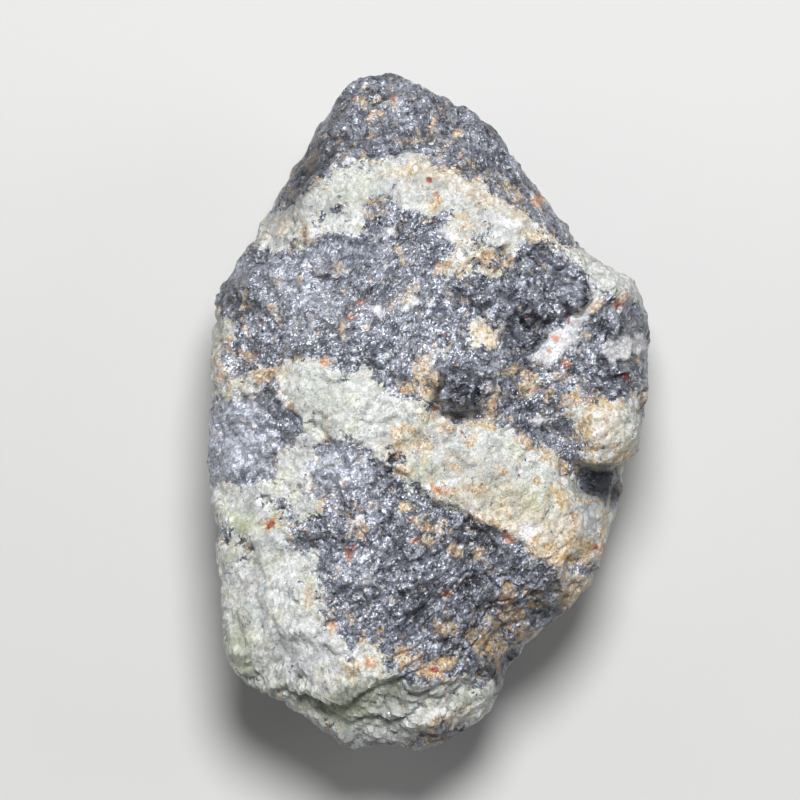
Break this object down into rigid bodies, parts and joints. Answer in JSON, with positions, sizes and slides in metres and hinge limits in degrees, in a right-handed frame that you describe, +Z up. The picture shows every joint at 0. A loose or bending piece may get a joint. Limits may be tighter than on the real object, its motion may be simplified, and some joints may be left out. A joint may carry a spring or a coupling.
{
  "type": "willemite with franklinite specimen",
  "caption": "Broken hand specimen of granular ore: pale grey-green willemite with dark sparkling franklinite, lying on its flat back.",
  "frame": {"origin": "on the surface that the specimen rests on, below the middle of its outline", "axes": "+Y along the specimen, from its rounded lower end to its crown; +X to the right, seen with the crown at the top; +Z up, out of the broad front face"},
  "size_m": [0.0848, 0.1296, 0.0588],
  "materials": {
    "zinc_ore": "rough broken stone: dark blue-grey franklinite grains that glint, milky grey-green willemite, white calcite, ochre stains and small red zincite grains"
  },
  "bodies": {
    "root": {"ore_rock": "zinc_ore"}
  },
  "joints": []
}
